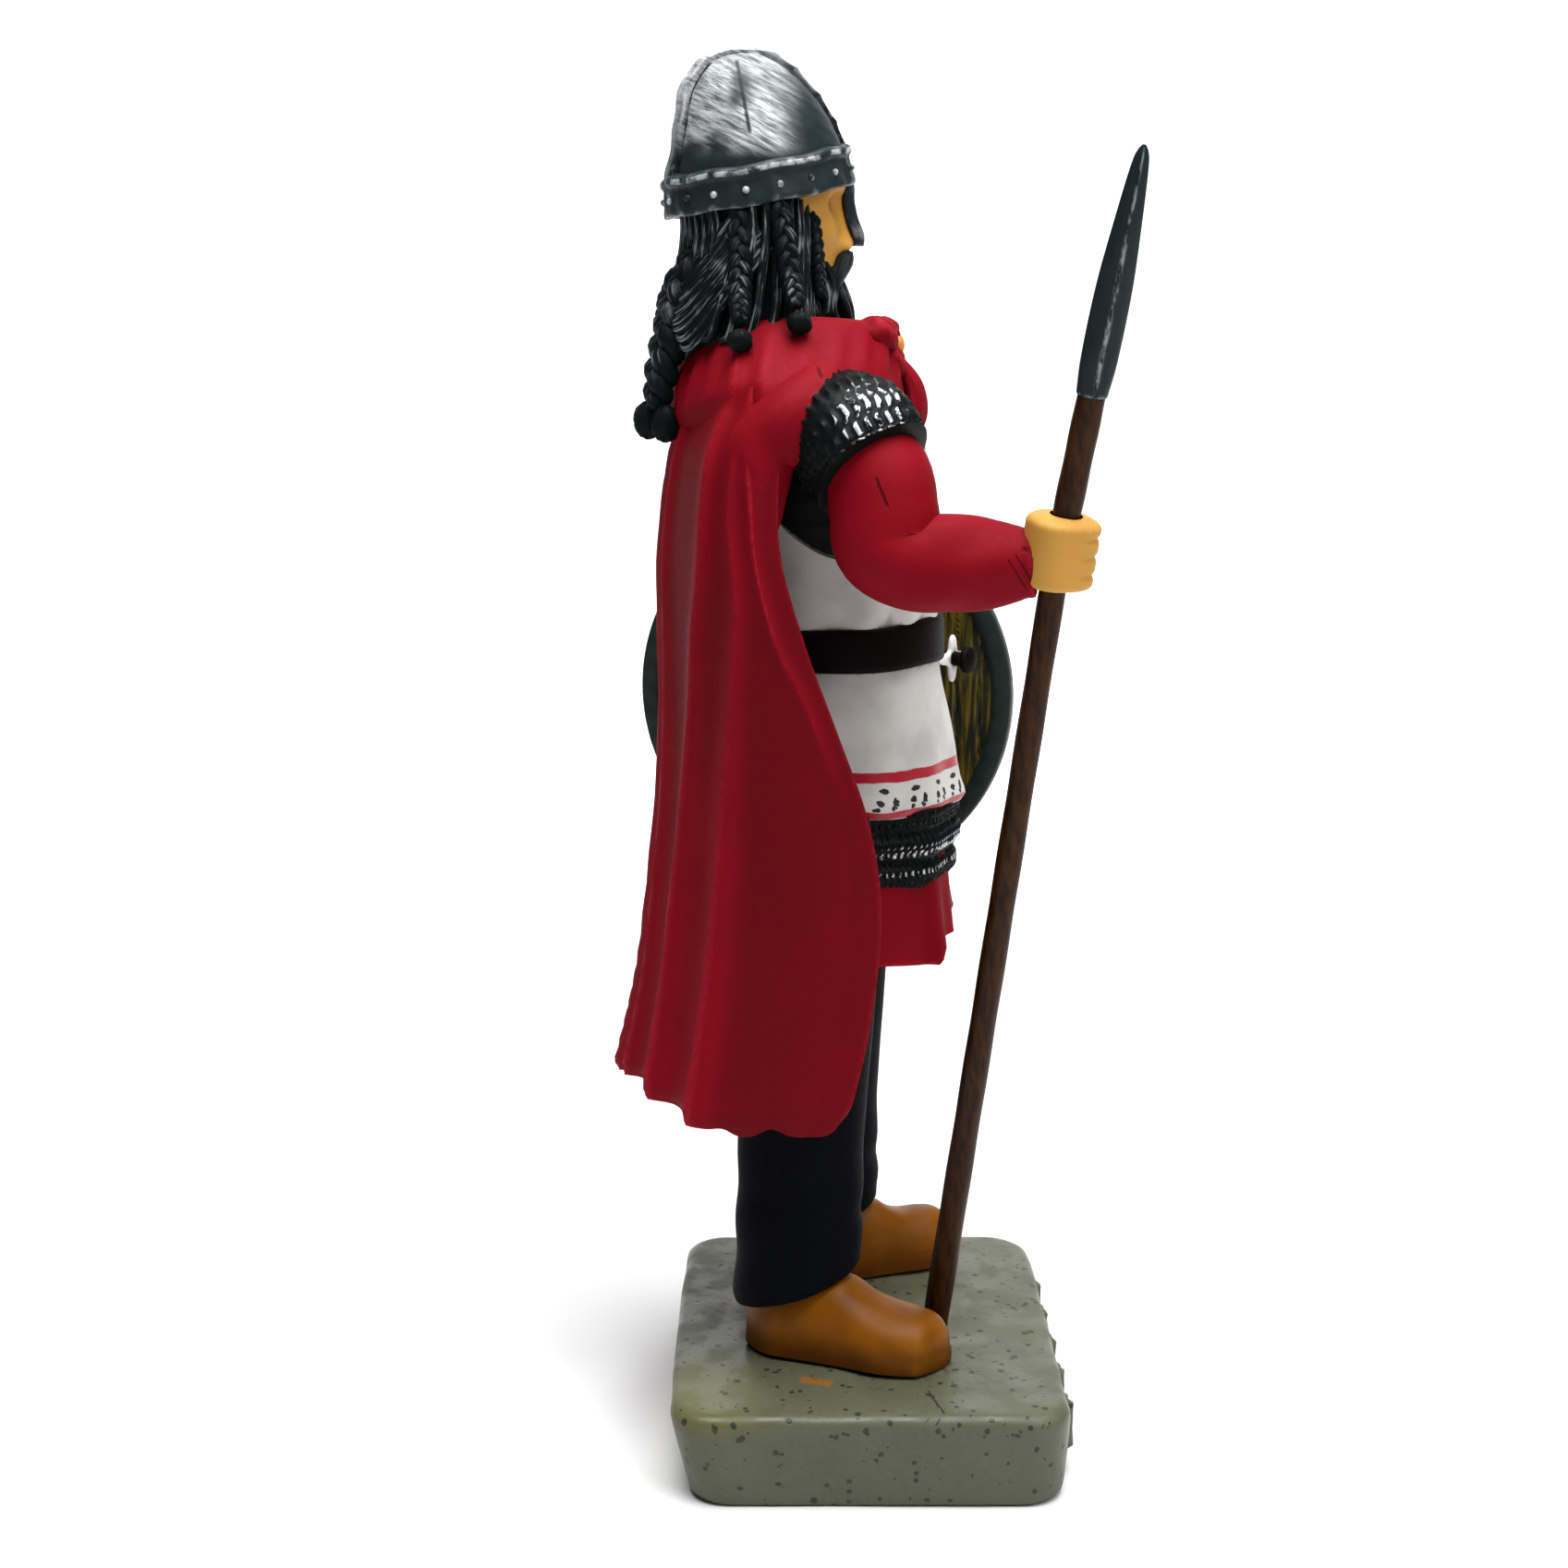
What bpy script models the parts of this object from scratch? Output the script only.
"""A painted resin figurine of a viking warrior on a stone-coloured plinth, with a spear and a round shield.

He faces -Y and his left side is +X. The origin is the middle of the plinth's underside.
"""

import math

import bmesh
import bpy
from mathutils import Matrix, Vector

MM = 0.001

# The plinth
PLINTH_WIDTH = 52.6 * MM
PLINTH_DEPTH = 45.4 * MM
PLINTH_HEIGHT = 11.0 * MM
PLINTH_CORNER = 4.8 * MM
PLINTH_TOP_ROUND = 1.4 * MM
PLINTH_FOOT_ROUND = 0.8 * MM
PLINTH_TAPER = 0.6 * MM
PLINTH_BACK_TAPER = 1.5 * MM

# The raised strokes on the plinth's front, which are not letters
STROKE_PROUD = 1.1 * MM
STROKE_WIDTH = 1.7 * MM
STROKE_HEIGHT = 6.2 * MM
STROKE_PITCH = 4.1 * MM
STROKE_COUNT = 9
STROKE_SUNK = 1.0 * MM
STROKE_LEAN = math.radians(7)
STROKE_TALLS = (1.0, 0.8)

# The warrior, sole to helmet. His pose, proportions and carving are shares of this height.
FIGURE_HEIGHT = 149.3 * MM
GRID_STEPS = 149.3
GRID_SOLE = 11.0
GRID_MIDLINE = 3.0
BREADTH = 0.9

# The spear
SHAFT_RADIUS = 1.45 * MM
SHAFT_TOP_RADIUS = 1.53 * MM
SPEAR_ABOVE_FIST = 42.1 * MM
SPEAR_HEAD_LENGTH = 25.2 * MM
SPEAR_HEAD_WIDTH = 3.85 * MM
SPEAR_HEAD_THICKNESS = 2.6 * MM
SPEAR_SOCKET_DEPTH = 2.4 * MM

# The shield
SHIELD_RADIUS = 24.4 * MM
SHIELD_BOARD = 1.9 * MM
SHIELD_RIM_WIDTH = 2.6 * MM
SHIELD_RIM_PROUD = 0.45 * MM
BOSS_RADIUS = 5.6 * MM
BOSS_HEIGHT = 4.2 * MM
BOSS_FLANGE = 1.9 * MM
PEG_RADIUS = 1.2 * MM
PEG_LENGTH = 1.6 * MM
GRIP_LATH_WIDTH = 3.0 * MM
GRIP_LATH_THICKNESS = 0.8 * MM
GRIP_LATH_LENGTH = 38.0 * MM
GRIP_LATH_GAP = 4.6 * MM
SHIELD_TURN = math.radians(15)

# The gap left where one casting meets another
FIT_GAP = 0.3 * MM

# The head, in grid steps and turned a little to his left
HEAD_TURN = math.radians(15)
HEAD_Y = 12.8
HEAD_TABLE_RIM = 143.9
NECK_RADIUS = 4.3
NECK_FOOT = 118.0
HELMET_RIM_HEIGHT = 143.9
HELMET_TILT = math.radians(11)
HELMET_FORWARD = 0.45
HELMET_SWEPT = 1.15

STEP = FIGURE_HEIGHT / GRID_STEPS
HIDDEN_FORMS = "figure_forms"


def clear_scene():
    for item in list(bpy.data.objects):
        bpy.data.objects.remove(item, do_unlink=True)


def paint(name, colour, roughness, metallic=0.0):
    material = bpy.data.materials.new(name)
    material.use_nodes = True
    shader = material.node_tree.nodes["Principled BSDF"]
    shader.inputs["Base Color"].default_value = (*colour, 1.0)
    shader.inputs["Roughness"].default_value = roughness
    shader.inputs["Metallic"].default_value = metallic
    return material


def square_grid(x, y, z):
    """A point of the warrior, counted in grid steps from the middle of the plinth, z from its underside."""
    return Vector((x * STEP, y * STEP, PLINTH_HEIGHT + (z - GRID_SOLE) * STEP))


def grid(x, y, z):
    """The same for all below his head, drawn in towards his midline to his own breadth."""
    return square_grid(GRID_MIDLINE + (x - GRID_MIDLINE) * BREADTH, y, z)


def between(value, table):
    """Smooth reading of a short table of (position, value) pairs."""
    if value <= table[0][0]:
        return table[0][1]
    if value >= table[-1][0]:
        return table[-1][1]
    for index in range(len(table) - 1):
        if value <= table[index + 1][0]:
            break
    x0, y0 = table[index]
    x1, y1 = table[index + 1]
    before = table[max(index - 1, 0)]
    after = table[min(index + 2, len(table) - 1)]
    span = x1 - x0
    slope0 = (y1 - before[1]) / (x1 - before[0]) * span
    slope1 = (after[1] - y0) / (after[0] - x0) * span
    t = (value - x0) / span
    return (
        (2 * t**3 - 3 * t**2 + 1) * y0
        + (t**3 - 2 * t**2 + t) * slope0
        + (3 * t**2 - 2 * t**3) * y1
        + (t**3 - t**2) * slope1
    )


def bump(value, centre, width):
    return math.exp(-(((value - centre) / width) ** 2))


def power(value, exponent):
    return math.copysign(abs(value) ** exponent, value)


def steps(first, last, count):
    return [first + (last - first) * i / (count - 1) for i in range(count)]


def oval(angle, side, back, front, roundness=1.0):
    """A point on an oval; angle 0 is the back (+Y), 90 degrees is his right side (-X), 180 is the front."""
    reach = back if math.cos(angle) > 0 else front
    return -side * power(math.sin(angle), roundness), reach * power(math.cos(angle), roundness)


def turns(count):
    return [2 * math.pi * i / count for i in range(count)]


def mesh_object(name, bm, material, collection):
    bmesh.ops.recalc_face_normals(bm, faces=bm.faces)
    bmesh.ops.triangulate(bm, faces=bm.faces)
    mesh = bpy.data.meshes.new(name)
    bm.to_mesh(mesh)
    bm.free()
    mesh.materials.append(material)
    mesh.shade_smooth()
    mesh.set_sharp_from_angle(angle=math.radians(45))
    item = bpy.data.objects.new(name, mesh)
    collection.objects.link(item)
    return item


def helper(item):
    item.hide_render = True
    item.display_type = "WIRE"
    return item


def skin(bm, rings):
    """Walls between rings of as many points, each end closed by a fan round its middle."""
    rows = [[bm.verts.new(p) for p in ring] for ring in rings]
    count = len(rows[0])
    for low, high in zip(rows, rows[1:]):
        for i in range(count):
            j = (i + 1) % count
            bm.faces.new((low[i], low[j], high[j], high[i]))
    for row in (rows[0], rows[-1]):
        middle = bm.verts.new(sum((v.co for v in row), Vector()) / count)
        for i in range(count):
            bm.faces.new((row[i], row[(i + 1) % count], middle))


def form(name, rings, material, collection):
    bm = bmesh.new()
    skin(bm, rings)
    return helper(mesh_object(name, bm, material, collection))


def route(points, count):
    """Points read from a smooth curve through the given ones, evenly spaced by number."""
    tables = [[(i, p[axis]) for i, p in enumerate(points)] for axis in range(3)]
    last = len(points) - 1
    return [Vector([between(t, table) for table in tables]) for t in steps(0, last, count)]


def tube_rings(path, radii, sides, squash=1.0, wave=None):
    """Rings square to a path. squash flattens them across; wave adds to the radius by station and angle."""
    rings = []
    across = Vector((1, 0, 0))
    for i, point in enumerate(path):
        ahead = path[min(i + 1, len(path) - 1)] - path[max(i - 1, 0)]
        ahead.normalize()
        across = (across - ahead * across.dot(ahead)).normalized()
        up = ahead.cross(across)
        ring = []
        for angle in turns(sides):
            radius = radii[i] + (wave(i, angle) if wave else 0.0)
            ring.append(point + across * radius * math.cos(angle) + up * radius * squash * math.sin(angle))
        rings.append(ring)
    return rings


def limb(name, points, radii, stations, sides, material, collection, squash=1.0, wave=None, place=grid):
    """A limb through grid points, its radii in grid steps read along the way."""
    path = route([place(*p) for p in points], stations)
    table = [(i / (len(radii) - 1), r) for i, r in enumerate(radii)]
    sizes = [between(t, table) * STEP for t in steps(0, 1, stations)]
    lift = (lambda i, a: wave(i / (stations - 1), a) * STEP) if wave else None
    return form(name, tube_rings(path, sizes, sides, squash, lift), material, collection)


def ball(name, centre, radius, material, collection, stretch=(1, 1, 1), detail=7, place=grid):
    bm = bmesh.new()
    bmesh.ops.create_uvsphere(bm, u_segments=detail, v_segments=detail - 3, radius=radius * STEP)
    scale = Matrix.Diagonal((*stretch, 1))
    bmesh.ops.transform(bm, matrix=Matrix.Translation(place(*centre)) @ scale, verts=bm.verts)
    return helper(mesh_object(name, bm, material, collection))


def head_grid(x, y, z):
    """A point of the head, hair or beard. Their tables count heights on a head whose rim is at HEAD_TABLE_RIM."""
    return square_grid(x, y, z + HELMET_RIM_HEIGHT - HEAD_TABLE_RIM)


def head_frame(x, y, z):
    """Turns a point given round the head's own axis to where the head looks."""
    c, s = math.cos(HEAD_TURN), math.sin(HEAD_TURN)
    return head_grid(GRID_MIDLINE + c * x - s * y, HEAD_Y + s * x + c * y, z)


# Plinth


def plinth_ring(inset, z):
    """A rectangle with round corners, drawn in by inset, at height z. Its back face leans in towards the foot."""
    radius = PLINTH_CORNER
    half_x = PLINTH_WIDTH / 2 - inset
    lean = PLINTH_BACK_TAPER * max(0.0, 1 - z / (PLINTH_HEIGHT - PLINTH_TOP_ROUND))
    points = []
    for corner in range(4):
        sign_x = 1 if corner in (0, 3) else -1
        sign_y = 1 if corner in (0, 1) else -1
        half_y = PLINTH_DEPTH / 2 - inset - (lean if sign_y > 0 else 0.0)
        for share in steps(0, 1, 5):
            angle = (corner + share) * math.pi / 2
            x = sign_x * (half_x - radius) + radius * math.cos(angle)
            y = sign_y * (half_y - radius) + radius * math.sin(angle)
            points.append(Vector((x, y, z)))
    return points


def plinth_rings():
    rings = [plinth_ring(PLINTH_TAPER + PLINTH_FOOT_ROUND, 0.0)]
    rings.append(plinth_ring(PLINTH_TAPER * 0.93, PLINTH_FOOT_ROUND))
    top = PLINTH_HEIGHT - PLINTH_TOP_ROUND
    for angle in (0, 30, 60, 90):
        a = math.radians(angle)
        inset = PLINTH_TOP_ROUND * (1 - math.cos(a))
        rings.append(plinth_ring(inset, top + PLINTH_TOP_ROUND * math.sin(a)))
    return rings


def make_plinth(material, collection):
    bm = bmesh.new()
    skin(bm, plinth_rings())
    return mesh_object("figure_and_base", bm, material, collection)


def make_strokes(material, collection):
    """Short raised bars in a row across the front face."""
    for i in range(STROKE_COUNT):
        x = (i - (STROKE_COUNT - 1) / 2) * STROKE_PITCH
        tall = STROKE_HEIGHT * STROKE_TALLS[i % len(STROKE_TALLS)]
        deep = STROKE_PROUD + STROKE_SUNK
        low = PLINTH_HEIGHT * 0.22
        bm = bmesh.new()
        bmesh.ops.create_cube(bm, size=1.0)
        shape = Matrix.Diagonal((STROKE_WIDTH, deep, tall, 1))
        spot = Matrix.Translation((x, -PLINTH_DEPTH / 2 - STROKE_PROUD + deep / 2, low + tall / 2))
        bmesh.ops.transform(bm, matrix=spot @ Matrix.Rotation(STROKE_LEAN, 4, "Y") @ shape, verts=bm.verts)
        helper(mesh_object(f"stroke_{i + 1:02d}", bm, material, collection))


# Legs and shoes


def shoe_ring(share, heel, toe, width, lift):
    """One D-shaped section of a shoe at a share of the way from heel to toe."""
    along = Vector((toe[0] - heel[0], toe[1] - heel[1], 0)).normalized()
    side = Vector((-along.y, along.x, 0))
    middle = Vector((heel[0] + (toe[0] - heel[0]) * share, heel[1] + (toe[1] - heel[1]) * share, 0))
    half = width * between(share, [(0, 0.26), (0.1, 0.4), (0.3, 0.43), (0.7, 0.5), (0.9, 0.4), (1, 0.16)])
    tall = lift * between(share, [(0, 0.55), (0.08, 0.86), (0.4, 1.0), (0.62, 0.72), (0.85, 0.5), (0.96, 0.4), (1, 0.2)])
    points = []
    for angle in turns(10):
        across = half * power(math.cos(angle), 0.8)
        rise = math.sin(angle)
        z = tall * power(rise, 0.85) if rise > 0 else 0.9 * rise
        spot = middle + side * across
        points.append(grid(spot.x, spot.y, GRID_SOLE + 0.5 + z))
    return points


def make_shoe(name, heel, toe, material, collection):
    rings = [shoe_ring(t, heel, toe, 10.2, 9.2) for t in (0, 0.07, 0.25, 0.45, 0.65, 0.83, 0.95, 1.0)]
    return form(name, rings, material, collection)


def trouser_ring(z, leg, angle_count):
    """A section of a trouser leg. leg gives the middle at the hem and at the hip, and the hem's rise in front."""
    hem, hip, rise = leg
    share = (z - 15.5) / (66.0 - 15.5)
    x = hem[0] + (hip[0] - hem[0]) * share
    y = hem[1] + (hip[1] - hem[1]) * share
    reach = between(z, [(15.5, 7.3), (22, 7.2), (32, 7.1), (45, 7.3), (66, 8.2)])
    points = []
    for angle in turns(angle_count):
        px, py = oval(angle, reach * 0.95, reach + 0.6, reach)
        crease = 0.25 * bump(z, 27, 9) * math.sin(5 * angle + z * 0.5)
        ramp = max(0.0, 1 - (z - 15.5) / 14)
        lifted = z + rise * ramp * (0.5 - 0.5 * math.cos(angle))
        points.append(grid(x + px * (1 + crease / reach), y + py * (1 + crease / reach), lifted))
    return points


def make_leg(name, leg, material, collection):
    levels = (15.5, 17.5, 24, 33, 46, 62)
    return form(name, [trouser_ring(z, leg, 12) for z in levels], material, collection)


# Skirts, coat and belt


def cloth_ring(z, side, back, front, middle, count, roundness, pleat):
    points = []
    for angle in turns(count):
        px, py = oval(angle, side, back, front, roundness)
        swell = 1 + pleat(angle) / side
        points.append(grid(3.0 + px * swell, middle + py * swell, z))
    return points


def tunic_pleat(depth):
    return lambda a: depth * (math.cos(7 * a + 0.6) + 0.45 * math.cos(11 * a))


def make_tunic_skirt(material, collection):
    rings = []
    for z in (59.4, 64, 70):
        flare = (76 - z) / 16
        pleat = tunic_pleat(0.75 * flare)
        rings.append(cloth_ring(z, 15.0 + 1.6 * flare, 14.0, 12.8 + 1.0 * flare, 3.0, 30, 0.86, pleat))
    return form("tunic_skirt", rings, material, collection)


def mail_ripple(angle):
    return 0.35 * math.cos(8 * angle + 0.4)


def no_pleat(angle):
    return 0.0


def make_mail_skirt(material, collection):
    """Three overlapping tiers of rings, each a little proud of the next."""
    rings = []
    for z, out in ((67.2, -1.2), (69.4, 0.0), (70.6, -0.4), (73.2, 0.4), (74.4, -0.2), (77.4, 0.3)):
        rings.append(cloth_ring(z, 16.2 + out, 15.2, 13.5 + out, 3.2, 24, 0.88, mail_ripple))
    return form("mail_skirt", rings, material, collection)


TORSO_SIDE = [(76, 16.2), (84, 15.6), (91, 14.8), (97, 14.8), (106, 15.6), (114, 16.2), (120, 14.5), (126, 9)]
TORSO_BACK = [(76, 14.4), (87, 14.5), (95, 16.6), (114, 16.8), (126, 12)]
TORSO_FRONT = [(76, 14.2), (84, 13.2), (91, 11.9), (97, 11.6), (104, 11.6), (112, 10.8), (118, 9.6), (126, 6)]


def torso_reach(z):
    """Half width, reach to the back and reach to the front of the body; its upper back is one with the cape."""
    return between(z, TORSO_SIDE), between(z, TORSO_BACK), between(z, TORSO_FRONT)


def make_body(material, collection):
    rings = []
    for z in (98, 106, 113, 121):
        side, back, front = torso_reach(z)
        rings.append(cloth_ring(z, side - 0.6, back, front - 0.6, 3.6, 18, 0.9, no_pleat))
    return form("mail_shirt_body", rings, material, collection)


def make_surcoat(material, collection):
    """The white coat over the mail, cut away under the arms."""
    rings = []
    for share in (0, 0.18, 0.36, 0.5, 0.72, 1.0):
        ring = []
        for angle in turns(24):
            open_side = abs(math.sin(angle)) ** 5
            top = 119.0 - 14.5 * open_side
            z = 76.6 + (top - 76.6) * share
            side, back, front = torso_reach(z)
            px, py = oval(angle, side, back, front, 0.9)
            fold = 0.35 * math.cos(6 * angle + 0.5) * max(0.0, 1 - share * 1.6)
            puff = 0.45 * bump(z, 99, 5) + 0.1
            swell = 1 + (fold + puff) / side
            ring.append(grid(3.0 + px * swell, 3.6 + py * swell, z))
        rings.append(ring)
    return form("surcoat", rings, material, collection)


def make_belt(material, collection):
    rings = []
    for z, out in ((91.8, -0.5), (91.9, 0.9), (96.6, 0.9), (96.7, -0.5)):
        side, back, front = torso_reach(z)
        rings.append(cloth_ring(z, side + out, back, front + out, 3.6, 22, 0.9, no_pleat))
    return form("belt", rings, material, collection)


# Arms and hands

RIGHT_ARM = (
    (-14.5, 4.0, 117.8),
    (-19.8, 0.0, 114.4),
    (-21.5, -0.8, 109.4),
    (-22.0, -3.6, 105.7),
    (-23.0, -10.0, 105.3),
    (-24.4, -16.6, 105.5),
)
RIGHT_ARM_RADII = (5.3, 5.8, 6.0, 5.6, 4.9, 3.6)
RIGHT_FIST = (-25.6, -18.9, 106.9)
SPEAR_FOOT = (-5.0, -8.3, 11.0)
SPEAR_LEAN_ABOVE = (-0.26, -0.15, 1.0)
LEFT_SHOULDER = (20.0, 6.0, 117.8)
LEFT_ELBOW = (23.8, 9.8, 103.5)
LEFT_WRIST = (24.6, 7.1, 90.0)
LEFT_FIST = (24.8, 6.0, 84.0)
FIST_HALF = 3.8


def sleeve_creases(share, angle):
    elbow = 0.28 * bump(share, 0.5, 0.16) * math.cos(3 * angle + 1.0)
    return elbow + 0.18 * math.cos(share * 40) * bump(share, 0.9, 0.06)


def make_right_arm(material, collection):
    limb("right_arm", RIGHT_ARM, RIGHT_ARM_RADII, 11, 11, material, collection, wave=sleeve_creases)


def make_left_arm(material, collection):
    points = (LEFT_SHOULDER, (22.6, 8.4, 112.5), LEFT_ELBOW, (24.5, 8.6, 96.5), LEFT_WRIST)
    radii = (5.4, 5.4, 5.0, 4.5, 3.6)
    limb("left_arm", points, radii, 8, 10, material, collection, wave=sleeve_creases)


def mail_sleeve_wave(share, angle):
    return 0.5 * bump(share, 0.97, 0.05) + 0.25 * math.cos(4 * angle) * share


def make_mail_sleeves(material, collection):
    right = ((-11.0, 5.0, 118.6), (-17.4, 2.3, 117.8), (-20.0, 0.2, 115.3))
    left = ((16.0, 6.0, 118.6), (21.2, 7.0, 117.2), (22.6, 8.0, 113.6))
    limb("right_mail_sleeve", right, (6.6, 7.2, 6.7), 4, 13, material, collection, wave=mail_sleeve_wave)
    limb("left_mail_sleeve", left, (6.6, 6.8, 6.3), 4, 13, material, collection, wave=mail_sleeve_wave)


def fist_rings(centre, axis, finger_side):
    """A closed fist round an axis, with its fingers marked on one side."""
    up = axis.normalized()
    side = (finger_side - up * finger_side.dot(up)).normalized()
    other = up.cross(side)
    rings = []
    for share in steps(-1, 1, 6):
        close = (1 - abs(share) ** 5 * 0.28) if abs(share) > 0.9 else 1.0
        ring = []
        for angle in turns(11):
            finger = max(0.0, math.cos(angle)) ** 0.5
            crease = 0.28 * finger * (0.5 - 0.5 * math.cos(4 * math.pi * (share + 1)))
            reach = (FIST_HALF - 0.25 + crease) * close
            spot = centre + up * share * FIST_HALF * 1.03 * STEP
            spot = spot + side * power(math.cos(angle), 0.78) * reach * STEP
            ring.append(spot + other * power(math.sin(angle), 0.78) * reach * 0.96 * STEP)
        rings.append(ring)
    return rings


def make_fists(material, collection):
    spear_axis = grid(*RIGHT_FIST) - grid(*SPEAR_FOOT)
    form("right_fist", fist_rings(grid(*RIGHT_FIST), spear_axis, Vector((0.45, -1, 0))), material, collection)
    form("left_fist", fist_rings(grid(*LEFT_FIST), shield_up(), -shield_out()), material, collection)


# Head, helmet and hair


def head_reach(z, angle):
    """How far the head reaches from its axis; angle is 0 at the front of the face."""
    side = between(z, [(128, 4.6), (132, 6.0), (137, 7.0), (142, 7.5), (147, 7.6), (152, 6.8)])
    front = between(z, [(128, 7.6), (131.5, 9.4), (134, 9.0), (138, 9.3), (142, 9.3), (147, 9.8), (152, 8.6)])
    reach = side * front / math.hypot(side * math.cos(angle), front * math.sin(angle))
    nose = bump(angle, 0, 0.17) * between(z, [(137.2, 0), (138.4, 1.5), (139.4, 2.1), (142, 1.3), (145, 0.4), (148, 0.2)])
    sockets = -1.0 * bump(abs(angle), 0.4, 0.17) * bump(z, 143.0, 1.3)
    brow = 0.5 * bump(abs(angle), 0.3, 0.3) * bump(z, 145.6, 1.0)
    cheeks = 0.5 * bump(abs(angle), 0.62, 0.25) * bump(z, 140.2, 1.7)
    lips = 0.3 * bump(angle, 0, 0.22) * bump(z, 135.6, 0.7) - 0.35 * bump(angle, 0, 0.3) * bump(z, 136.8, 0.5)
    return reach + nose + sockets + brow + cheeks + lips


def make_head(material, collection):
    rings = []
    for z in (130, 134.0, 136, 137.6, 139.2, 140.8, 142.8, 145, 147):
        ring = []
        for turn in turns(20):
            angle = turn - math.pi
            bent = angle * (0.55 + 0.45 * abs(angle) / math.pi)
            reach = min(head_reach(z, bent), 7.4 if abs(bent) > 1.6 else 20.0)
            ring.append(head_frame(reach * math.sin(bent), -reach * math.cos(bent), z))
        rings.append(ring)
    return form("head", rings, material, collection)


def make_neck(material, collection):
    """The neck runs from between the shoulders up into the helmet, hidden by face, hair and beard."""
    rings = []
    for z in (NECK_FOOT, HELMET_RIM_HEIGHT + 2.0):
        ring = []
        for angle in turns(8):
            x = GRID_MIDLINE + NECK_RADIUS * math.sin(angle)
            ring.append(square_grid(x, HEAD_Y + NECK_RADIUS * math.cos(angle), z))
        rings.append(ring)
    return form("neck", rings, material, collection)


HELMET_PROFILE = [(0, 10.2), (3.2, 10.1), (5.6, 9.7), (8.4, 8.8), (11.0, 7.4), (13.2, 5.8), (14.9, 3.9), (15.8, 1.5)]


def helmet_place(x, y, rise):
    """A point of the helmet: y from its own axis, rise up that axis from the rim, tilted up in front."""
    c, s = math.cos(HELMET_TILT), math.sin(HELMET_TILT)
    back = y * c + rise * s * HELMET_SWEPT - HELMET_FORWARD
    return head_frame(x, back, HEAD_TABLE_RIM + rise * c - y * s)


def helmet_point(angle, rise, out=0.0):
    reach = between(rise, HELMET_PROFILE) + out
    return helmet_place(-reach * 0.9 * math.sin(angle), reach * 1.02 * math.cos(angle), rise)


def helmet_round(angle):
    """The brow line dips a little over the ears."""
    return -0.5 * abs(math.sin(angle)) ** 2


def make_helmet(material, collection):
    rings = []
    for rise in (1.0, 6.0, 9.0, 11.6, 13.8, 15.2, 15.8):
        rings.append([helmet_point(a, rise) for a in turns(20)])
    form("helmet_bowl", rings, material, collection)
    rings = []
    for rise, out in ((-0.2, -0.8), (-0.2, 0.55), (3.2, 0.62), (3.7, 0.85), (4.2, -0.8)):
        rings.append([helmet_point(a, rise + helmet_round(a), out) for a in turns(20)])
    form("helmet_brow_band", rings, material, collection)


def make_helmet_ribs(material, collection):
    """One rib over the crown from brow to nape."""
    rings = []
    for way in steps(-1, 1, 11):
        rise = between(1 - abs(way), [(0, 2.0), (0.2, 5.0), (0.4, 8.2), (0.6, 11.4), (0.8, 14.4), (1, 15.95)])
        facing = math.pi if way < 0 else 0.0
        lane = []
        for across, out in ((-2.1, -0.9), (-1.7, 0.6), (1.7, 0.6), (2.1, -0.9)):
            reach = max(between(rise, HELMET_PROFILE), 0.1) if abs(way) > 0.03 else 0.0
            y = (reach + out if abs(way) > 0.03 else 0.0) * 1.02 * math.cos(facing)
            lift = out * min(1.0, 1.3 * (1 - abs(way)) ** 2) if abs(way) < 0.6 else 0.0
            lane.append(helmet_place(across, y, rise + lift))
        rings.append(lane)
    form("helmet_crest_rib", rings, material, collection)


def make_nose_guard(material, collection):
    rings = []
    for z, wide, out in ((146.6, 1.7, 0.3), (144.6, 1.4, 0.6), (141.6, 1.2, 0.9), (139.6, 1.35, 1.2), (138.8, 1.0, 1.1)):
        face = -head_reach(max(z, 139.4), 0.0) - out
        ring = [
            head_frame(-wide, face + 0.9, z),
            head_frame(-wide, face - 0.1, z),
            head_frame(0, face - 0.45, z),
            head_frame(wide, face - 0.1, z),
            head_frame(wide, face + 0.9, z),
        ]
        rings.append(ring)
    form("helmet_nose_guard", rings, material, collection)


def make_hair(material, collection):
    """The loose hair under the helmet, combed back and down in locks."""
    rings = []
    for z in (126.2, 129, 132.5, 136, 140, 144.5):
        side = between(z, [(126, 8.2), (129, 10.2), (133, 9.9), (139, 9.2), (146, 8.6)])
        back = between(z, [(126, 8.2), (129, 9.8), (132.5, 9.8), (135.5, 8.6), (138, 7.8), (142, 7.8), (146, 8.4)])
        ring = []
        for angle in turns(24):
            px, py = oval(angle, side, back, 6.6)
            lock = 0.42 * math.cos(8 * angle + 0.32 * (z - 126) * math.copysign(1, math.sin(angle)))
            swell = 1 + lock * (0.4 if math.cos(angle) < -0.5 else 1.0) / side
            ring.append(head_frame(px * swell, py * swell + 0.6, z))
        rings.append(ring)
    form("hair", rings, material, collection)


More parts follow.
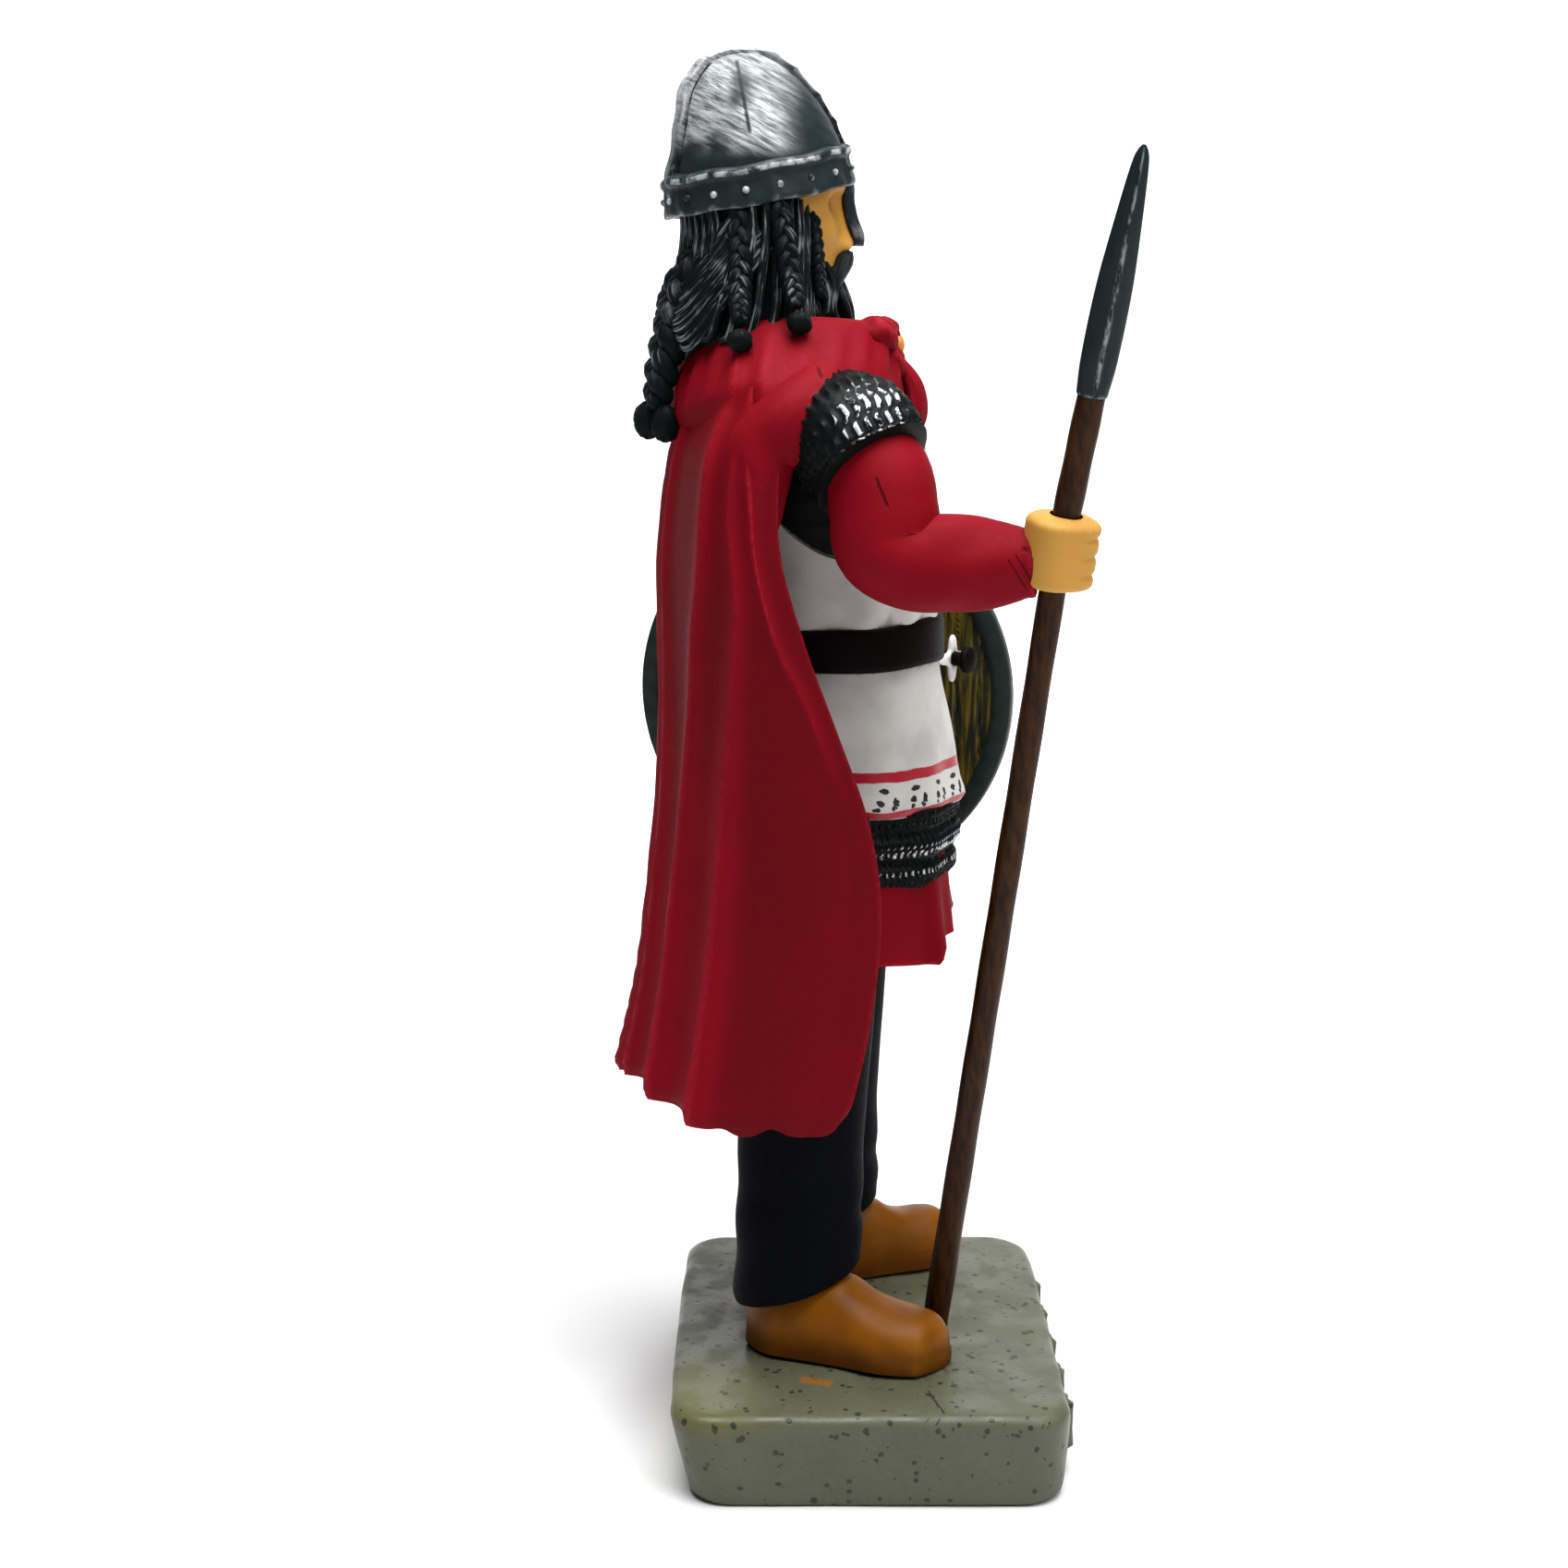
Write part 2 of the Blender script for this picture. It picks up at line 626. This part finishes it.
def make_beard(material, collection):
    rings = []
    for z in (128.0, 130.4, 133.0, 135.4, 137.6):
        side = between(z, [(127.2, 4.4), (130, 6.4), (134, 7.2), (137.6, 7.4)])
        front = between(z, [(127.2, 9.6), (130, 11.1), (133, 10.6), (135.6, 9.6), (137.6, 8.6)])
        ring = []
        for angle in turns(18):
            px, py = oval(angle, side, 5.0, front)
            curl = 0.4 * math.cos(9 * angle + z * 0.9) * max(0.0, -math.cos(angle) + 0.3)
            ring.append(head_frame(px * (1 + curl / 8), py * (1 + curl / 8), z))
        rings.append(ring)
    form("beard", rings, material, collection)
    for side, name in ((-1, "right"), (1, "left")):
        points = [(0.4, -10.4, 138.0), (2.2, -10.0, 137.4), (4.0, -8.6, 135.4), (4.9, -7.6, 132.9)]
        spots = [head_frame(side * x, y, z) for x, y, z in points]
        sizes = [between(t, [(0, 0.7), (0.4, 1.15), (1, 0.6)]) * STEP for t in steps(0, 1, 5)]
        form(f"moustache_{name}", tube_rings(route(spots, 5), sizes, 6), material, collection)


PLAITS = (
    ("plait_right_1", (-5.2, 14.6, 143.0), (-7.2, 14.4, 137.0), (-8.6, 14.2, 131.6), (-9.6, 14.0, 128.6), (-10.4, 14.0, 126.8)),
    ("plait_right_2", (-6.4, 10.2, 143.0), (-7.4, 9.6, 137.0), (-8.2, 9.2, 132.4), (-8.9, 8.8, 129.8), (-9.6, 8.7, 128.2)),
    ("plait_left_1", (12.2, 15.6, 143.0), (13.6, 15.4, 137.0), (14.6, 15.2, 131.6), (15.6, 15.0, 128.6), (16.4, 15.0, 126.8)),
    ("plait_left_2", (11.6, 11.2, 143.0), (12.2, 10.8, 137.0), (12.9, 10.4, 132.4), (13.7, 10.0, 129.6), (14.5, 9.9, 127.9)),
)
PLAIT_RADII = (1.25, 1.3, 1.1, 0.9)


def plait_wave(share, angle):
    return 0.22 * math.cos(6 * math.pi * share + 2 * angle)


def tress_wave(share, angle):
    return 0.45 * math.cos(7 * math.pi * share + 2 * angle)


def make_plaits(material, collection):
    """Each plait hangs from under the helmet and ends in a bead."""
    for name, *points in PLAITS:
        limb(name, points, PLAIT_RADII, 7, 6, material, collection, wave=plait_wave, place=head_grid)
        ball(f"{name}_bead", points[-1], 1.85, material, collection, (1.0, 1.0, 0.95), 6, head_grid)


def make_tress(material, collection):
    """The thick twisted tress down his back, ending in a tied tuft of two lobes."""
    points = ((-1.5, 18.4, 137.0), (-1.8, 21.2, 133.2), (-2.0, 22.2, 129.5), (-2.0, 23.3, 125.0), (-2.0, 24.1, 121.2))
    radii = (1.6, 2.2, 2.3, 2.1, 1.6)
    limb("tress", points, radii, 11, 8, material, collection, wave=tress_wave, place=head_grid)
    ball("tress_tuft_1", (-1.2, 25.0, 119.5), 1.75, material, collection, (0.9, 0.95, 1.1), 7, head_grid)
    ball("tress_tuft_2", (-3.0, 23.0, 119.3), 1.75, material, collection, (0.9, 0.95, 1.1), 7, head_grid)


# Cape

CAPE_BACK = [(41, 29.7), (54.3, 26.7), (65.7, 25.3), (76.9, 24.3), (87.9, 23.9), (104.1, 24.0), (114.7, 22.8), (120, 21.2), (124, 18.6)]
CAPE_EDGE = [(41, 4.4), (53.8, 1.5), (67.2, 0.2), (77.3, 1.2), (87.2, 3.9), (97, 6.8), (106.4, 8.8), (116, 8.6), (120, 8.0)]
CAPE_SIDE = [(41, 1.0), (102, 1.0), (112, 0.97), (118, 0.9), (124, 0.74)]
CAPE_THICKNESS = [(41, 2.0), (44, 2.6), (62, 3.4), (90, 4.5), (123, 5.0)]
CAPE_FAR_EDGE = [(41, -92), (60, -78), (110, -76), (120, -80)]
CAPE_NEAR_EDGE = 105.0
CAPE_TOP = 123.5
CAPE_HEM = [(-90, 42.6), (-60, 41.6), (-35, 41.0), (-10, 40.3), (2, 41.6), (14, 43.2), (26, 43.9), (38, 43.1), (52, 42.8), (66, 41.5)]
CAPE_HEM += [(80, 42.0), (95, 41.5), (105, 43.6)]

# Each fold's crest: its angle by height, its width, and how far it stands out by height
CAPE_FOLDS = (
    ([(41, -68), (80, -64), (118, -58)], 7.0, [(41, 1.9), (110, 0.9)]),
    ([(41, -45), (80, -40), (118, -36)], 7.0, [(41, 2.1), (110, 1.1)]),
    ([(41, -22), (80, -18), (118, -14)], 7.0, [(41, 2.1), (110, 1.2)]),
    ([(41, 1), (80, -2), (118, 2)], 6.5, [(41, 2.1), (110, 1.2)]),
    ([(41, 19), (75, 16), (88, 18), (100, 22), (117, 22)], 6.0, [(41, 2.0), (75, 1.2), (110, 1.1)]),
    ([(41, 36), (56, 32.5), (77, 35), (96, 47), (105, 56), (118, 58), (124, 66)], 6.5, [(41, 1.9), (75, 1.5), (110, 1.3)]),
    ([(41, 54), (58, 51), (79, 54), (92, 65), (103, 76), (124, 77)], 7.0, [(41, 1.8), (75, 1.4), (100, 0.8), (112, 0.5)]),
    ([(79, 98), (91, 96), (97, 91), (110, 88.5), (118, 82), (124, 81)], 5.5, [(76, 0.0), (84, 0.6), (97, 0.9), (112, 0.9)]),
)


def cape_fold(degrees, z):
    """How far the folds lift the cape at an angle and height."""
    lift = 0.0
    for crest, width, heights in CAPE_FOLDS:
        lift += between(z, heights) * bump(degrees, between(z, crest), width)
    return lift - 0.8


def cape_point(u, z, inward):
    """u runs from the right front edge (0) to the left front edge (1)."""
    middle = between(z, CAPE_EDGE) + 4.0
    back = between(z, CAPE_BACK) - middle
    degrees = CAPE_NEAR_EDGE + (between(z, CAPE_FAR_EDGE) - CAPE_NEAR_EDGE) * u
    angle = math.radians(degrees)
    side = 26.4 if degrees > 0 else 23.4
    side *= between(z, CAPE_SIDE)
    px, py = oval(angle, side, back, back, 1.04)
    fade = min(1.0, u / 0.06, (1 - u) / 0.06)
    swell = cape_fold(degrees, z) * fade - inward
    reach = math.hypot(px, py)
    return 3.0 + px * (1 + swell / reach), middle + py * (1 + swell / reach)


def cape_level(u, share):
    """Height at a share of the way from the hem, which is scalloped by the folds, to the top."""
    hem = between(CAPE_NEAR_EDGE + (CAPE_FAR_EDGE[0][1] - CAPE_NEAR_EDGE) * u, CAPE_HEM)
    return hem + (CAPE_TOP - hem) * share


def make_cape(material, collection):
    columns = steps(0, 1, 34)
    bm = bmesh.new()
    rows = []
    for share in (0, 0.025, 0.2, 0.42, 0.62, 0.82, 1.0):
        outer, inner = [], []
        for u in columns:
            z = cape_level(u, share)
            thick = between(z, CAPE_THICKNESS)
            out_x, out_y = cape_point(u, z, 0.45 if share == 0 else 0.0)
            in_x, in_y = cape_point(u, z, thick)
            outer.append(grid(out_x, out_y, z))
            inner.append(grid(in_x, in_y, z))
        rows.append([bm.verts.new(p) for p in outer + inner[::-1]])
    count = len(columns)
    size = 2 * count
    for low, high in zip(rows, rows[1:]):
        for i in range(size):
            j = (i + 1) % size
            bm.faces.new((low[i], low[j], high[j], high[i]))
    for row in (rows[0], rows[-1]):
        for i in range(count - 1):
            bm.faces.new((row[i], row[i + 1], row[size - 2 - i], row[size - 1 - i]))
    return helper(mesh_object("cape", bm, material, collection))


MANTLE_ROWS = (
    (8.0, 8.0, 8.0, 126.5, 128.2, 128.2),
    (10.4, 9.8, 10.8, 126.6, 129.8, 130.4),
    (13.4, 11.8, 12.4, 124.8, 128.8, 128.9),
    (17.8, 13.0, 13.0, 121.4, 126.4, 125.8),
    (22.2, 13.6, 13.6, 117.4, 123.4, 122.0),
    (24.6, 13.4, 13.8, 113.0, 119.2, 118.4),
    (21.8, 11.2, 11.6, 113.4, 118.6, 118.2),
)


def mantle_ring(row, count):
    side, back, front, z_back, z_side, z_front = row
    ring = []
    for angle in turns(count):
        px, py = oval(angle, side, back, front, 0.96)
        c = math.cos(angle)
        z = z_side + (z_back - z_side) * max(c, 0) ** 2 + (z_front - z_side) * max(-c, 0) ** 2
        raised = 5.2 * bump(math.degrees(angle), 118, 32) + 2.4 * bump(math.degrees(angle), 242, 30)
        lift = raised * max(0.0, (side - 20) / 5)
        fold = 0.45 * math.cos(10 * angle + 0.12 * side) * min(1.0, max(0.0, (side - 11) / 6))
        tuck = 1.6 * max(0.0, c) if side > 20 else 0.0
        swell = 1 + (fold - tuck) / side
        ring.append(grid(3.0 + px * swell, 9.2 + py * swell, z + lift))
    return ring


def make_mantle(material, collection):
    """The cape round the neck and over the shoulders."""
    form("cape_mantle", [mantle_ring(row, 27) for row in MANTLE_ROWS], material, collection)


def make_knot(cloth, brass, collection):
    """The cape's bunched end at the front, its hanging tail and the small brooch."""
    ball("cape_knot_1", (-3.4, -0.4, 128.9), 2.6, cloth, collection, (1.2, 1.0, 0.8))
    ball("cape_knot_2", (0.6, -1.5, 129.4), 2.1, cloth, collection, (1.2, 0.9, 0.75))
    ball("cape_knot_3", (-1.4, -1.9, 125.9), 2.3, cloth, collection, (1.3, 0.9, 0.9))
    ball("cape_knot_4", (3.8, -1.2, 127.6), 2.2, cloth, collection, (1.2, 0.9, 1.0))
    ball("brooch", (0.0, -3.0, 127.9), 1.25, brass, collection, (1.0, 0.7, 1.0))
    points = ((-0.4, -2.8, 126.4), (0.2, -4.6, 123.4), (0.4, -4.9, 120.4), (0.2, -4.2, 117.8))
    ripple = lambda share, angle: 0.3 * math.cos(3 * angle) * share
    limb("cape_tail", points, (1.6, 2.6, 3.0, 2.2), 5, 10, cloth, collection, squash=0.5, wave=ripple)


# Sword


SWORD_GUARD = (16.3, -10.2, 90.4)
SWORD_AXIS = (-0.62, -0.78, 0.0)
GRIP_LENGTH = 2.9
GUARD_REACHES = (2.6, 1.4, 1.2, 1.4)


def hilt_disc(middle, reaches, half_thick):
    """Two rings square to the sword's axis, whose reaches repeat round them."""
    ahead = Vector(SWORD_AXIS).normalized()
    side = ahead.cross(Vector((0, 0, 1)))
    up = side.cross(ahead)
    rings = []
    for end in (-half_thick, half_thick):
        ring = []
        for i, angle in enumerate(turns(16)):
            reach = reaches[i % len(reaches)] * STEP
            ring.append(middle + ahead * end * STEP + side * reach * math.cos(angle) + up * reach * math.sin(angle))
        rings.append(ring)
    return rings


def make_sword(hilt, leather, collection):
    """The hilt at his left hip, with its pommel forward, and the scabbard behind it."""
    sheath = ((15.5, -7.6, 91.6), (19.0, 0.0, 84.0), (21.0, 9.0, 76.0))
    limb("scabbard", sheath, (1.9, 1.8, 1.7), 4, 8, leather, collection)
    ahead = Vector(SWORD_AXIS).normalized()
    guard = grid(*SWORD_GUARD)
    pommel = guard + ahead * GRIP_LENGTH * STEP
    form("sword_grip", tube_rings([guard - ahead * 4.0 * STEP, guard, pommel], [0.9 * STEP] * 3, 8), leather, collection)
    form("sword_pommel", hilt_disc(pommel, (1.55,), 0.65), leather, collection)
    form("sword_guard", hilt_disc(guard, GUARD_REACHES, 0.55), hilt, collection)


# Spear and shield


def spear_path():
    """Foot, fist and tip of the shaft, which bends slightly in the fist."""
    foot = grid(*SPEAR_FOOT)
    fist = grid(*RIGHT_FIST)
    down = (foot - fist).normalized()
    foot = foot + down * (SPEAR_SOCKET_DEPTH - FIT_GAP)
    above = Vector(SPEAR_LEAN_ABOVE).normalized()
    return foot, fist, fist + above * SPEAR_ABOVE_FIST


def spear_shaft_rings(extra, sides):
    foot, fist, top = spear_path()
    neck = top - (top - fist).normalized() * SPEAR_HEAD_LENGTH
    path = [foot, foot.lerp(fist, 0.96), fist, fist.lerp(neck, 0.5), neck]
    radii = [SHAFT_RADIUS + extra] * 2 + [SHAFT_TOP_RADIUS + extra] * 3
    return tube_rings(path, radii, sides)


def spear_head_rings():
    """A long leaf blade with a ridge down the middle, on a round socket."""
    foot, fist, top = spear_path()
    ahead = (top - fist).normalized()
    flat = (Vector((0, -1, 0)) - ahead * ahead.dot(Vector((0, -1, 0)))).normalized()
    thick = ahead.cross(flat)
    wide = [(0, 0.84), (0.12, 0.97), (0.3, 1.0), (0.48, 0.94), (0.66, 0.77), (0.84, 0.57), (0.95, 0.4), (1, 0.14)]
    deep = [(0, 1.22), (0.12, 1.1), (0.3, 1.0), (0.6, 0.78), (0.95, 0.4), (1, 0.16)]
    rings = []
    for share in (0, 0.1, 0.2, 0.35, 0.5, 0.66, 0.84, 0.95, 1.0):
        spot = top - ahead * SPEAR_HEAD_LENGTH * (1 - share)
        half_w = SPEAR_HEAD_WIDTH / 2 * between(share, wide)
        half_t = SPEAR_HEAD_THICKNESS / 2 * between(share, deep)
        flatten = 1.0 + 0.5 * min(1.0, max(0.0, (share - 0.12) / 0.15))
        ring = []
        for angle in turns(8):
            across = power(math.cos(angle), 1.0) * half_w
            depth = power(math.sin(angle), flatten) * half_t
            ring.append(spot + flat * across + thick * depth)
        rings.append(ring)
    return rings


def make_spear(wood, iron, collection, hidden):
    bm = bmesh.new()
    skin(bm, spear_shaft_rings(0.0, 10))
    spear = mesh_object("spear", bm, wood, collection)
    head = form("spear_head", spear_head_rings(), iron, hidden)
    join(spear, head, "UNION")
    return spear


def shield_out():
    """The way the shield's painted face looks."""
    return Vector((math.cos(SHIELD_TURN), -math.sin(SHIELD_TURN), 0))


def shield_up():
    return Vector((0, 0, 1))


def shield_seat():
    """Where the shield's inner face stands off the left fist, on the shield's axis."""
    reach = (FIST_HALF * 1.0) * STEP + GRIP_LATH_THICKNESS + FIT_GAP
    return grid(*LEFT_FIST) + shield_out() * reach


def shield_frame(across, up, out):
    """A point measured from the middle of the inner face."""
    side = shield_out().cross(shield_up())
    return shield_seat() + side * across + shield_up() * up + shield_out() * out


def shield_ring(radius, out, count):
    return [shield_frame(radius * math.cos(a), radius * math.sin(a), out) for a in turns(count)]


def shield_profile():
    """Radius and distance out, from the middle of the inner face round the rim to the boss."""
    rim_in = SHIELD_RADIUS - SHIELD_RIM_WIDTH
    profile = [(rim_in, 0.0), (rim_in + 0.3 * MM, -SHIELD_RIM_PROUD)]
    profile += [(SHIELD_RADIUS - 0.5 * MM, -SHIELD_RIM_PROUD), (SHIELD_RADIUS, 0.2 * MM)]
    profile += [(SHIELD_RADIUS, SHIELD_BOARD - 0.2 * MM), (SHIELD_RADIUS - 0.5 * MM, SHIELD_BOARD + SHIELD_RIM_PROUD)]
    profile += [(rim_in + 0.3 * MM, SHIELD_BOARD + SHIELD_RIM_PROUD), (rim_in, SHIELD_BOARD)]
    profile += [(BOSS_RADIUS + BOSS_FLANGE, SHIELD_BOARD)]
    profile += [(BOSS_RADIUS + BOSS_FLANGE * 0.9, SHIELD_BOARD + 0.4 * MM)]
    for angle in (0, 35, 68):
        a = math.radians(angle)
        profile.append((BOSS_RADIUS * math.cos(a), SHIELD_BOARD + 0.4 * MM + (BOSS_HEIGHT - 0.4 * MM) * math.sin(a)))
    return profile


def make_shield(wood, collection, hidden):
    bm = bmesh.new()
    rings = [shield_ring(r, out, 32) for r, out in shield_profile()]
    skin(bm, rings)
    shield = mesh_object("shield", bm, wood, collection)
    bite = 0.5 * MM
    for side, name in ((-1, "left"), (1, "right")):
        across = side * GRIP_LATH_GAP / 2 + side * GRIP_LATH_WIDTH / 2
        corners = [(-GRIP_LATH_WIDTH / 2, -GRIP_LATH_LENGTH / 2), (GRIP_LATH_WIDTH / 2, -GRIP_LATH_LENGTH / 2)]
        corners += [(GRIP_LATH_WIDTH / 2, GRIP_LATH_LENGTH / 2), (-GRIP_LATH_WIDTH / 2, GRIP_LATH_LENGTH / 2)]
        slab = [[shield_frame(across + x, y, out) for x, y in corners] for out in (-GRIP_LATH_THICKNESS, bite)]
        join(shield, form(f"grip_lath_{name}", slab, wood, hidden), "UNION")
    peg = [shield_ring(PEG_RADIUS, out, 10) for out in (peg_tip(), bite)]
    join(shield, form("shield_peg", peg, wood, hidden), "UNION")
    return shield


def peg_tip():
    return -(GRIP_LATH_THICKNESS + FIT_GAP + PEG_LENGTH)


def join(target, tool, how):
    modifier = target.modifiers.new(tool.name, "BOOLEAN")
    modifier.solver = "EXACT"
    modifier.operation = how
    modifier.object = tool
    modifier.material_mode = "TRANSFER"


def make_cutters(figure, material, hidden):
    """The bore for the spear in the fist, its socket in the plinth, and the socket for the shield's peg."""
    foot, fist, top = spear_path()
    radius = SHAFT_RADIUS + FIT_GAP
    reach = FIST_HALF * 1.6 * STEP
    down = (foot - fist).normalized()
    above = (top - fist).normalized()
    bore = tube_rings([fist + down * reach, fist, fist + above * reach], [radius] * 3, 12)
    join(figure, form("spear_bore", bore, material, hidden), "DIFFERENCE")
    start = grid(*SPEAR_FOOT)
    socket = tube_rings([start + down * SPEAR_SOCKET_DEPTH, start - down * 2.0 * MM], [radius + 0.1 * MM] * 2, 14)
    join(figure, form("spear_socket", socket, material, hidden), "DIFFERENCE")
    hole = [shield_ring(PEG_RADIUS + FIT_GAP, out, 12) for out in (peg_tip() - FIT_GAP, GRIP_LATH_THICKNESS)]
    join(figure, form("peg_socket", hole, material, hidden), "DIFFERENCE")


def main():
    clear_scene()
    scene = bpy.context.scene.collection
    forms = bpy.data.collections.new(HIDDEN_FORMS)
    scene.children.link(forms)
    others = bpy.data.collections.new("other_forms")
    scene.children.link(others)

    stone = paint("plinth_stone_paint", (0.24, 0.26, 0.2), 0.5)
    crimson = paint("crimson_cloth_paint", (0.3, 0.006, 0.017), 0.75)
    white = paint("surcoat_white_paint", (0.62, 0.58, 0.55), 0.6)
    mail = paint("mail_black_and_silver", (0.02, 0.02, 0.022), 0.45)
    navy = paint("trouser_navy_paint", (0.008, 0.009, 0.016), 0.6)
    tan = paint("shoe_leather_paint", (0.35, 0.13, 0.015), 0.5)
    flesh = paint("flesh_paint", (0.6, 0.3, 0.09), 0.55)
    iron = paint("helmet_gunmetal_paint", (0.1, 0.12, 0.12), 0.4, 0.5)
    black = paint("hair_black_paint", (0.012, 0.013, 0.014), 0.5)
    brown = paint("belt_and_hilt_brown", (0.025, 0.01, 0.01), 0.5)
    brass = paint("brooch_gold_paint", (0.5, 0.2, 0.03), 0.4, 0.3)
    timber = paint("spear_shaft_brown", (0.03, 0.012, 0.009), 0.5)
    boards = paint("shield_boards_ochre_green", (0.05, 0.045, 0.01), 0.5)

    figure = make_plinth(stone, scene)
    make_strokes(stone, forms)
    make_shoe("right_shoe", (-5.6, 13.4), (-13.8, -10.6), tan, forms)
    make_shoe("left_shoe", (12.4, 8.4), (22.8, -14.6), tan, forms)
    make_leg("right_leg", ((-7.6, 8.0), (-4.4, 6.2), 4.6), navy, forms)
    make_leg("left_leg", ((14.8, 5.2), (10.6, 4.6), 4.6), navy, forms)
    make_tunic_skirt(crimson, forms)
    make_mail_skirt(mail, forms)
    make_body(mail, forms)
    make_surcoat(white, forms)
    make_belt(brown, forms)
    make_right_arm(crimson, forms)
    make_left_arm(crimson, forms)
    make_mail_sleeves(mail, forms)
    make_fists(flesh, forms)
    make_head(flesh, forms)
    make_neck(flesh, forms)
    make_helmet(iron, forms)
    make_helmet_ribs(iron, forms)
    make_nose_guard(iron, forms)
    make_hair(black, forms)
    make_beard(black, forms)
    make_plaits(black, forms)
    make_tress(black, forms)
    make_cape(crimson, forms)
    make_mantle(crimson, forms)
    make_knot(crimson, brass, forms)
    make_sword(white, brown, forms)

    union = figure.modifiers.new("one_casting", "BOOLEAN")
    union.solver = "EXACT"
    union.operation = "UNION"
    union.operand_type = "COLLECTION"
    union.collection = forms
    union.material_mode = "TRANSFER"
    make_cutters(figure, stone, others)

    make_spear(timber, iron, scene, others)
    make_shield(boards, scene, others)


main()
